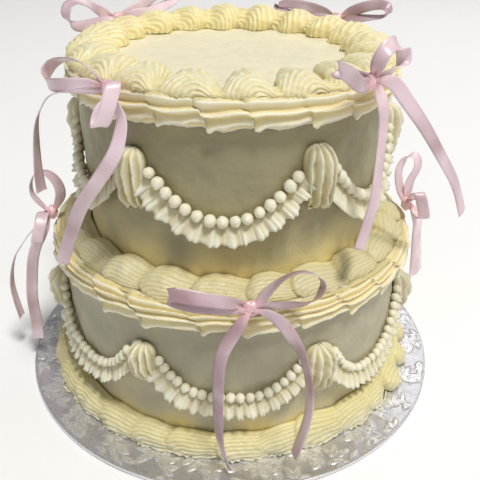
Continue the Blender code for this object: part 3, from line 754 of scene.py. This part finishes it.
def frillPatch(shape, azimuth, height, length, draw, seed):
    # a ruffled lip that hangs square to the line of pearls, with folds that are all different
    run = length[-1]
    along = np.linspace(0, run, int(run / swagShape["frillStep"]))
    az = np.interp(along, length, azimuth)
    z = np.interp(along, length, height)
    slope = np.gradient(z, along)
    level = np.sqrt(np.clip(1 - slope ** 2, 0.05, 1))
    big, tallBig = pleatWave(along, shape["pleats"], draw)
    small, tallSmall = pleatWave(along, shape["finePleats"], draw)
    fold = (0.60 * smoothStep(big, 0.1, 0.7) * tallBig + 0.40 * small * tallSmall)[:, None]
    lean = (1.6 * (tallBig - 0.9) * 4 * big + 0.5 * small)[:, None]
    q = np.linspace(0, 1, 8)[None, :]
    ends = smoothStep(along, 0, 5)[:, None] * (1 - smoothStep(along, run - 5, run))[:, None]
    out = 0.8 + q * (3.0 + 0.6 * q) + shape["frillReach"] * 0.52 * fold * q * (0.4 + 0.6 * ends)
    # the lip narrows towards its right end
    narrowing = swagShape["frillNarrowing"] * smoothStep(along / run, 0.55, 0.95)
    drop = shape["frillDrop"] * (1 - narrowing)[:, None]
    drape = shape["pearl"] * 0.55 + (drop - shape["pearl"] * 0.55 + 0.9) * q * (0.68 + 0.32 * ends)
    edge = 0.30 * ringWander(az * 11, seed)[:, None] + 0.7 * (fold - 0.55) + 0.9 * (tallBig - 0.8)[:, None]
    drape = drape + edge * q ** 2
    side = lean * q ** 1.2
    # square to the line of pearls: part sideways, part down
    wall = shape["wall"]
    azGrid = az[:, None] + np.degrees((drape * slope[:, None] + side * level[:, None]) / wall)
    zGrid = z[:, None] - drape * level[:, None] + side * slope[:, None]
    thick = 1.3 - 0.75 * q
    front = around(azGrid, wall + out + thick * 0.5, zGrid)
    back = around(azGrid, wall + np.maximum(out - thick * 0.6, 0.05), zGrid - 0.3)[:, ::-1]
    # painted shade: darker in the creases of the folds and up by the pearls, and darker again on the back of
    # the lip
    mask = np.clip(0.12 + 0.95 * fold * (0.35 + 0.65 * q) + 0.45 * q, 0, 1)
    grid = np.concatenate([front, back], axis=1)
    mask = np.concatenate([mask, mask[:, ::-1] * 0.6], axis=1)
    return gridPatch(grid, closedAcross=True, capped=True, ridge=mask)


def swagPiece(shape, index):
    draw = np.random.default_rng(shape["seed"] + index)
    azimuth, height, length = swagPath(shape, index)
    patches = [frillPatch(shape, azimuth, height, length, draw, shape["seed"] + 40 + index)]
    count = round(swagShape["overlap"] * length[-1] / (2 * shape["pearl"]))
    for pearl in range(count):
        spot = length[-1] * (pearl + 0.5 + draw.uniform(-0.06, 0.06)) / count
        az, z = np.interp(spot, length, azimuth), np.interp(spot, length, height)
        radius = shape["pearl"] * draw.uniform(0.92, 1.04)
        away = shape["wall"] + shape["pearl"] * swagShape["pearlOut"] + draw.uniform(-0.2, 0.3)
        centre = around(az, away, z + draw.uniform(-0.3, 0.3))
        patches.append(pearlPatch(centre, around(az, 1.0, 0.0), radius, draw))
    name = f"{shape['tier']}Swag{index + 1}"
    joinPiece(name, patches, swagPiping, [f"{shape['tier']}_swag_{index + 1}"])


def dropPiece(shape, index):
    # a shell drawn straight down: smooth round head, then deep ridges that part into ragged ends
    draw = np.random.default_rng(shape["seed"] + 20 + index)
    azimuth = shape["start"] + 360.0 / shape["count"] * index
    v = np.linspace(0, 1, 38)[:, None]
    size = shape["dropSizes"][index]
    side = np.linspace(-1, 1, 66)[None, :]
    wide = np.interp(v, dropShape["stations"], dropShape["wide"])
    deep = np.interp(v, dropShape["stations"], dropShape["deep"])
    ridges = dropShape["ridges"] + draw.integers(0, 2)
    bend = draw.uniform(-0.35, 0.35) * v ** 1.5 + draw.uniform(-0.12, 0.12)
    number = (side + bend + 1) * 0.5 * ridges
    groove = np.abs(np.sin(math.pi * number)) ** (1.9 - 1.1 * smoothStep(v, 0.15, 0.75))
    most = 12     # more ridges than any drop has
    whole = np.clip(number.astype(int), 0, most - 1)
    strength = draw.uniform(0.85, 1.1, most)[whole]
    cut = smoothStep(v, -0.14, 0.12) * (0.75 + 0.25 * smoothStep(v, 0.5, 0.85))
    turn = side * math.pi / 2
    body = np.clip(np.cos(turn), 0, 1) ** 0.55
    push = dropShape["depth"] * ((1 - groove) * strength - 0.65) * cut
    lean = draw.uniform(-2.0, 2.0) * v ** 2
    across = size * np.sin(turn) * (dropShape["halfWidth"] * wide + 0.25 * push) + lean
    out = size * body * (dropShape["reach"] * 0.94 * deep + push)
    ragged = draw.uniform(-1.4, 0.8, most)[whole] * (1 - groove) * smoothStep(v, 0.8, 1.0)
    down = size * shape["dropLength"] * v + ragged - 0.8 * groove * smoothStep(v, 0.85, 1.0)
    rough = np.stack([across, out, down + 0 * side], -1)
    seed = shape["seed"] + 60 + index
    out = np.maximum(out + (0.5 * cloud(rough, 9.0, seed) + 0.15 * cloud(rough, 2.5, seed + 1)) * body, -0.15)
    radius = shape["wall"] + out
    points = around(azimuth + np.degrees(across / radius), radius, shape["dropTops"][index] - down)
    # painted shade: darker down the grooves and on the sides that turn in to the wall
    mask = np.clip(1.0 - 1.1 * groove * cut, 0, 1) * (0.4 + 0.6 * smoothStep(body, 0, 0.45))
    name = f"{shape['tier']}Drop{index + 1}"
    patch = gridPatch(points, closedAcross=True, capped=True, ridge=mask)
    joinPiece(name, [patch], swagPiping, [f"{shape['tier']}_drop_{index + 1}"])


for shape in (upperSwags, lowerSwags):
    for index in range(shape["count"]):
        swagPiece(shape, index)
        dropPiece(shape, index)
print("swags and drops are piped")


# Foil covered board, embossed with sprigs of leaves
board = {
    "sprigs": 330, "leaves": 3, "fan": 0.8, "leafLength": (7.5, 11.5), "leafWidth": (3.2, 4.6),
    "relief": 0.5, "seed": 7, "edge": 0.7, "turns": 1080, "rings": 42,
    "shows": (96, 128),     # from under the base border to just past the rim
    "strewing": (0.5698403, 0.7548777),     # steps that spread any number of sprigs evenly
    "shadedCreases": (0.66, 0.65, 0.68), "crests": (0.93, 0.93, 0.93), "metallic": 0.76,
    "roughness": (0.20, 0.36), "bump": 0.2,
}


def leafRelief(x, y):
    draw = np.random.default_rng(board["seed"])
    height = np.zeros(x.shape)
    inner, outer = board["shows"]
    for sprig in range(board["sprigs"]):
        angle = 2 * math.pi * (sprig * board["strewing"][0] % 1)
        away = inner + (outer - inner) * (sprig * board["strewing"][1] % 1)
        rootX, rootY = away * math.cos(angle), away * math.sin(angle)
        heading = draw.uniform(0, 2 * math.pi)
        for leaf in range(board["leaves"]):
            spread = (leaf - (board["leaves"] - 1) / 2) * board["fan"] + draw.uniform(-0.2, 0.2)
            long = draw.uniform(*board["leafLength"])
            wide = draw.uniform(*board["leafWidth"])
            way = heading + spread
            c, s = math.cos(way), math.sin(way)
            p = (x - rootX) * c + (y - rootY) * s - 1.0
            q = -(x - rootX) * s + (y - rootY) * c
            share = np.clip(p / long, 0, 1)
            half = 0.5 * wide * np.sin(math.pi * share ** 0.8) + 1e-6
            # each leaf lies over the ones before, with a fine groove round it and along its middle
            rim = 1 - np.clip((half - np.abs(q)) / 0.75, 0, 1)
            vein = np.exp(-(q / 0.3) ** 2) * (share < 0.8)
            within = (p > 0) & (p < long) & (np.abs(q) < half)
            height = np.where(within, 1 - 0.95 * rim - 0.55 * vein * (1 - rim), height)
    return height


def foilMaterial():
    made, shader = startMaterial("embossedFoil")
    tree = made.node_tree
    crease = noiseNode(tree, objectPlace(tree), 260.0, 4.0, 0.6)
    # painted shade: the foil is darker in the creases round, along and between the embossed leaves
    setInputs(shader, {
        "Base Color": mixColour(tree, maskNode(tree, "emboss"), board["shadedCreases"], board["crests"]),
        "Metallic": board["metallic"], "Roughness": noiseBetween(tree, crease, *board["roughness"]),
        "Normal": bumpNode(tree, crease, board["bump"], grainHeight),
    })
    return made


def makeBoard():
    azimuth = np.arange(0, 360, 360 / board["turns"])[:, None]
    edge, thickness, radius = board["edge"], cake["boardThickness"], cake["boardRadius"]
    outer = radius - edge
    # wide rings under the cake, where nothing shows
    r = np.concatenate([[2.0, 60.0], np.linspace(105, outer, board["rings"])])[None, :]
    relief = leafRelief(r * np.sin(np.radians(azimuth)), r * np.cos(np.radians(azimuth)))
    relief = relief * smoothStep(r, 94, 96) * (1 - smoothStep(r, outer - 1.5, outer))
    crinkle = 0.05 * cloud(around(azimuth, r, 0.0), 13.0, 5) * smoothStep(r, 90, 97)
    top = thickness - board["relief"] + board["relief"] * relief + crinkle - 0.02
    top = np.minimum(top, thickness + 0.05)
    rim = [(outer + edge * 0.7, thickness - edge * 0.3), (radius, thickness - edge), (radius, edge),
           (outer, 0.0), (60.0, 0.0), (2.0, 0.0)]
    rimGrid = np.concatenate([around(azimuth, away, up) for away, up in rim], axis=1)
    grid = np.concatenate([around(azimuth, r, top), rimGrid], axis=1)
    emboss = np.concatenate([relief, np.full(rimGrid.shape[:2], 0.3)], axis=1)
    patch = closeRings(gridPatch(grid, closedAlong=True, emboss=emboss), len(azimuth))
    joinPiece("foilBoard", [patch], foilMaterial(), ["board"])


makeBoard()
print("board is embossed")


# Bows of narrow satin ribbon
ribbon = {
    "width": 6.5, "thickness": 0.34, "cup": 0.35, "pinch": 0.45, "knotSize": (8.0, 5.8, 7.6),
    "shade": (0.40, 0.25, 0.28), "light": (0.88, 0.70, 0.77), "knot": (0.89, 0.53, 0.56),
}
satinSheen = {
    "Sheen Weight": 0.15, "Sheen Roughness": 0.35, "Anisotropic": 0.6, "Specular IOR Level": 0.9,
    "Coat Weight": 0.25, "Coat Roughness": 0.25,
}


def satinMaterial():
    made, shader = startMaterial("satinRibbon")
    tree = made.node_tree
    combine = tree.nodes.new("ShaderNodeCombineXYZ")
    setInputs(combine, {"X": maskNode(tree, "acrossRibbon")})
    threads = tree.nodes.new("ShaderNodeTexWave")
    threads.wave_type = "BANDS"
    setInputs(threads, {"Vector": combine.outputs["Vector"], "Scale": 14.0, "Distortion": 0.6})
    # painted light and shade: soft noise patches mix the shade and light colours as satin's light and shade,
    # raised or lowered by each bow's own level
    soft = noiseNode(tree, objectPlace(tree), 42.0, 1.0)
    folds = mathNode(tree, "MULTIPLY", mathNode(tree, "SUBTRACT", soft, 0.5), 2.4)
    folds = mathNode(tree, "ADD", folds, maskNode(tree, "clean"), clamp=True)
    colour = mixColour(tree, folds, ribbon["shade"], ribbon["light"])
    setInputs(shader, {
        "Base Color": mixColour(tree, maskNode(tree, "gathered"), colour, ribbon["knot"]),
        "Roughness": noiseBetween(tree, soft, 0.20, 0.32),
        "Normal": bumpNode(tree, threads.outputs["Fac"], 0.15, 0.0001), **satinSheen,
    })
    return made


def catmullRom(points, place):
    points = np.asarray(points, float)
    spans = len(points) - 1
    span = np.minimum((place * spans).astype(int), spans - 1)
    t = (place * spans - span)[:, None]
    before, start, end, after = (points[np.clip(span + k, 0, spans)] for k in (-1, 0, 1, 2))
    return 0.5 * (2 * start + (end - before) * t + (2 * before - 5 * start + 4 * end - after) * t ** 2
                  + (3 * start - before - 3 * end + after) * t ** 3)


def relax(line, passes=8):
    for step in range(passes):
        line[1:-1] = (line[:-2] + 2 * line[1:-1] + line[2:]) / 4
    return line


def strandPatch(route, widths, isLoop, stations=76):
    # along, outwards and up become x, -y and z, as for a knot at the front
    turnOut = np.array([1, -1, 1])
    route, widths = np.array(route, float) * turnOut, np.array(widths, float) * turnOut
    place = np.linspace(0, 1, stations)
    centre = relax(catmullRom(route, place))
    ahead = np.gradient(centre, axis=0)
    ahead /= np.linalg.norm(ahead, axis=1)[:, None]
    across = relax(catmullRom(widths, place))
    across -= ahead * (across * ahead).sum(1)[:, None]
    across /= np.linalg.norm(across, axis=1)[:, None]
    for k in range(1, stations):
        if across[k] @ across[k - 1] < 0:
            across[k] *= -1
    face = np.cross(ahead, across)
    length = lengthAlong(centre)
    fromKnot = np.minimum(length, length[-1] - length) if isLoop else length
    # pinched and creased by the knot, and flat from 9 mm away
    flat = smoothStep(fromKnot, 0.0, 9.0)[:, None]
    half = ribbon["width"] / 2 * (ribbon["pinch"] + (1 - ribbon["pinch"]) * flat)
    cup = ribbon["cup"] + 1.1 * (1 - flat)
    q = np.linspace(-1, 1, 7)[None, :]
    folds = cup * (1 - q ** 2) + (1 - flat) * 0.5 * np.cos(q * 7)
    middle = centre[:, None] + across[:, None] * (half * q)[..., None] + face[:, None] * folds[..., None]
    skin = face[:, None] * ribbon["thickness"] / 2
    grid = np.concatenate([middle + skin, (middle - skin)[:, ::-1]], axis=1)
    acrossMask = np.concatenate([q, q[:, ::-1]], axis=1)
    return gridPatch(grid, closedAcross=True, capped=True, acrossRibbon=acrossMask, gathered=0.8 * (1 - flat))


def knotPatch(size):
    # a turn of ribbon pulled tight, with a few creases
    polar, turn = ballAngles(22, 32, 0.05)
    body = np.sin(polar) ** 0.7
    crease = 1 + 0.07 * np.cos(3 * turn + 4 * polar) + 0.05 * np.sin(7 * turn - 3 * polar)
    points = np.stack(np.broadcast_arrays(
        size[0] / 2 * body * np.cos(turn) * crease,
        size[1] / 2 * body * np.sin(turn) * crease,
        size[2] / 2 * np.cos(polar) * (1 + 0.06 * np.cos(2 * turn)),
    ), -1)
    return gridPatch(points, closedAcross=True, capped=True, acrossRibbon=np.cos(turn), gathered=0.7)


facingOut = ((0, 0, 1), (0, 0.3, 1), (0, 0.8, 0.6), (0, 1, 0.3), (0, 0.5, 1))
hanging = ((0.7, 0.7, 0), (1, 0.3, 0), (1, 0, 0), (1, 0, 0))
# each strand: its route from the knot along the rim, outwards and up, then the directions across the ribbon
frontLeftBow = (
    (((-1, 1, 0), (-10, 5, 1), (-20, 8, 0), (-29, 8, -1), (-34, 5, 1), (-32, 2, 6), (-25, 1, 9),
      (-13, 1, 9), (-2, 0, 2)),
     ((0, 0, 1), (0, 0.2, 1), (0.1, 0.5, 0.9), (0.2, 0.9, 0.4), (0, 0.7, 0.7))),
    (((1, 0, 1), (5, 2, 4), (7, 5, 3), (7, 8, -3), (5, 9, -9), (2, 10, -13), (0, 8, -11), (1, 5, -6),
      (1, 1, -1)),
     ((0.8, -0.6, 0), (0.7, -0.7, 0), (0.7, -0.7, 0.1), (0.75, -0.65, 0.15))),
    (((1, 1, 0), (7, 2, -9), (9, 5, -16), (8, 9, -25), (1, 13, -37), (-8, 16, -50), (-17, 16, -66),
      (-29, 15, -88)),
     ((0.7, 0.4, 0), (0.8, -0.1, -0.2), (0.7, -0.4, -0.5), (0.7, -0.4, -0.5))),
    (((-1, 1, 0), (-17, 4, -3), (-29, 7, -6), (-35, 9, -13), (-39, 10, -22), (-41, 11, -42), (-41, 11, -54)),
     ((0, 0.5, 0.8), (0.5, 0.8, 0.3), (0.7, 0.7, 0.1), (0.4, 0.9, 0), (0.1, 1, 0.1))),
)
frontRightBow = (
    (((0, 1, 1), (-2, 4, 8), (0, 5, 13), (6, 5, 16), (12, 5, 13), (14, 5, 8), (10, 4, 4), (1, 0, 0)),
     ((0.3, 1, 0), (0.7, 0.8, 0), (0.7, 0.3, -0.7), (0.4, 0.8, 0.6), (0, 0.5, 1))),
    (((0, 1, 0), (-14, 6, 2), (-24, 8, 8), (-29, 6, 11), (-25, 4, 8), (-13, 2, 5), (-1, 0, 1)),
     ((0, 0, 1), (0, 0.3, 1), (0, 0.7, 0.8), (0, 0.8, 0.6))),
    (((1, 1, 0), (3, 5, -8), (3, 7, -16), (1, 9, -27), (0, 10, -41), (-2, 11, -54), (-11, 13, -73)),
     ((1, 0.4, 0), (1, 0, 0), (1, 0, 0), (1, 0.2, 0))),
    (((1, 1, 1), (9, 5, -1), (15, 9, -9), (25, 14, -22), (38, 18, -39), (51, 20, -55), (62, 21, -74)),
     ((0.3, 0.6, 0.8), (0.8, 0.3, 0.5), (0.8, -0.1, 0.6), (0.8, -0.15, 0.6))),
)
frontBow = (
    (((-1, 0, 0), (-9, 5, 7), (-18, 7, 11), (-26, 7, 13), (-30, 5, 11), (-24, 3, 6), (-13, 2, 2),
      (-1, 1, -1)),
     ((0, 0.3, 1), (0, -0.1, 1), (0, -0.4, 0.9), (0, -0.3, 0.9), (0, -0.4, 0.9), (0, -0.2, 1), (0, 0.3, 1))),
    (((1, 0, 0), (19, 5, 6), (29, 8, 9), (35, 7, 14), (35, 3, 18), (28, 0, 20), (20, 0, 17),
      (12, 0, 10), (1, 0, 1)),
     ((0, 0.4, 1), (0, 0.6, 0.9), (0.3, 0.9, 0.4), (0, 0.9, 0.4), (0.2, 0.8, 0.3), (0.6, 0.7, -0.2))),
    (((-1, 1, 0), (-4, 6, -7), (-8, 8, -21), (-9, 9, -40), (-9, 9, -60), (-8, 9, -74), (-4, 8, -92)),
     ((0.8, 0.6, 0), (0.8, 0.6, 0), (0.7, 0.7, 0), (0.5, 1, 0))),
    (((1, 1, 0), (16, 5, -2), (24, 8, -10), (30, 10, -22), (33, 12, -38), (33, 13, -54), (28, 13, -79)),
     ((0.3, 0.5, 0.8), (0.9, 0.1, 0.4), (0.55, 0.8, 0), (0.4, 0.9, 0), (0.3, 0.9, 0.1))),
)
leftBow = (
    (((0, -1, 1), (1, -6, 10), (0, -5, 18), (0, 0, 24), (1, 6, 24), (2, 9, 18), (3, 8, 11), (1, 1, 1)),
     ((0.5, 1, 0), (0.7, 0.7, 0), (1, 0.2, 0), (1, 0.1, 0), (1, 0, 0))),
    (((0, 1, 1), (8, 4, 3), (14, 5, -1), (16, 7, -7), (13, 8, -12), (1, 2, -1)),
     ((0, 1, 0), (0, 1, 0.1), (0, 1, 0), (0, 1, 0))),
    (((0, 1, 0), (0, 8, -8), (-1, 14, -13), (-2, 20, -21), (-3, 27, -32), (-3, 31, -50), (-3, 29, -74)),
     ((1, 0.3, 0.3), (1, 0.2, 0), (1, 0.1, 0), (1, 0.3, 0))),
    (((1, 2, 0), (7, 8, -12), (8, 13, -24), (8, 16, -39), (8, 18, -54), (8, 18, -71), (8, 19, -84)),
     ((0.4, 1, 0), (0.3, 1, 0), (0.2, 1, 0), (0.1, 1, 0))),
)
rightBow = (
    (((1, 1, 1), (1, 0, 8), (2, 1, 15), (3, 4, 21), (4, 4, 26), (4, 1, 29), (4, -4, 27), (2, -7, 18),
      (0, -2, 1)),
     ((0.3, 1, 0), (0.5, 1, 0), (0.6, 0.8, 0), (0.6, 0.8, 0), (0.6, 0.8, 0))),
    (((0, 1, 1), (-8, 1, 8), (-13, 2, 13), (-16, 4, 8), (-14, 7, -3), (-1, 2, 0)),
     ((0, 1, 0), (0, 1, 0.1), (0, 1, 0), (0, 1, 0))),
    (((1, 1, 0), (2, 7, -7), (4, 10, -15), (5, 13, -26), (5, 15, -37), (5, 17, -50)),
     ((0.6, 0.8, 0), (0.7, 0.6, 0), (0.8, 0.6, 0), (0.8, 0.6, 0))),
    (((-1, 2, 0), (-4, 7, -9), (-4, 8, -20), (-5, 9, -33), (-6, 10, -47)),
     ((0.4, 1, 0), (0.5, 1, 0), (0.6, 1, 0), (0.5, 1, 0))),
)
backLeftBow = (
    (((1, 1, 0), (10, 4, 5), (16, 5, 9), (24, 5, 12), (32, 4, 11), (35, 3, 5), (30, 3, -1),
      (14, 2, -1), (1, 0, 0)),
     ((0, 0.2, 1), (0.2, 0.6, 0.8), (0.2, 1, 0.2), (0, 0.6, 0.8), (0, 0.3, 1))),
    (((-1, 1, 0), (-18, 4, 3), (-34, 5, 9), (-47, 5, 12), (-54, 4, 8), (-44, 3, 3), (-22, 2, 1), (-1, 0, 0)),
     ((0, 0.1, 1), (0, 0.3, 1), (0.2, 0.8, 0.5), (0, 0.4, 1))),
    (((1, 1, 0), (7, 6, -9), (9, 10, -20), (8, 12, -36), (6, 14, -54), (7, 15, -68)), hanging),
    (((-1, 1, 0), (-8, 5, -7), (-13, 9, -17), (-16, 12, -32), (-16, 14, -48), (-18, 15, -60)), hanging),
)
backRightBow = (
    (((1, 1, 0), (17, 4, 3), (32, 5, 4), (44, 5, 4), (50, 3, 2), (40, 3, -1), (20, 2, -1),
      (1, 0, 0)), facingOut),
    (((-1, 1, 0), (-10, 4, 6), (-21, 5, 10), (-31, 4, 11), (-33, 3, 6), (-20, 3, 3), (-1, 0, 0)), facingOut),
    (((1, 1, 0), (5, 6, -9), (8, 10, -20), (10, 12, -36), (9, 14, -54), (6, 15, -70)), hanging),
    (((-1, 1, 0), (-7, 5, -7), (-12, 9, -17), (-14, 12, -32), (-17, 14, -48), (-16, 15, -58)), hanging),
)
# azimuth, radius and height of each knot, how light the ribbon is painted (lower for painted shade, lowest on
# the front ledge bow), and the node that the bow stands for
bows = {
    "topBow1": (-34.5, 90.9, 187.0, 0.62, frontLeftBow, "top_bow_1"),
    "topBow2": (40.0, 90.9, 190.0, 0.55, frontRightBow, "top_bow_2"),
    "topBow3": (136.0, 90.9, 192.0, 0.65, backRightBow, "top_bow_3"),
    "topBow4": (-130.0, 90.9, 192.0, 0.65, backLeftBow, "top_bow_4"),
    "ledgeBow1": (1.5, 108.4, 98.5, 0.27, frontBow, "ledge_bow_1"),
    "ledgeBow2": (90.0, 104.3, 98.4, 0.70, rightBow, "ledge_bow_2"),
    "ledgeBow3": (180.0, 108.4, 98.5, 0.50, frontBow, "ledge_bow_3"),
    "ledgeBow4": (-82.0, 104.3, 98.4, 0.62, leftBow, "ledge_bow_4"),
}
knotAside, asideReach = np.array([6.0, 0.0, 1.0]), 14.0     # how far one knot is moved, and how far it pulls
satin = satinMaterial()
for name, (azimuth, radius, height, clean, strands, node) in bows.items():
    patches = [knotPatch(ribbon["knotSize"])]
    for index, (route, widths) in enumerate(strands):
        patches.append(strandPatch(route, widths, index < 2))
    turn = math.radians(azimuth)
    swing = np.array([[math.cos(turn), math.sin(turn), 0], [-math.sin(turn), math.cos(turn), 0], [0, 0, 1]])
    place = around(azimuth, radius, height)
    if name == "ledgeBow1":
        # this knot sits a little to one side of its loops
        patches = [(points + knotAside * np.exp(-((points ** 2).sum(-1, keepdims=True) / asideReach ** 2)),
                    faces, values) for points, faces, values in patches]
    patches = [(points @ swing + place, faces, dict(values, clean=np.full(len(points), clean)))
               for points, faces, values in patches]
    joinPiece(name, patches, satin, [node])
print("bows are tied")
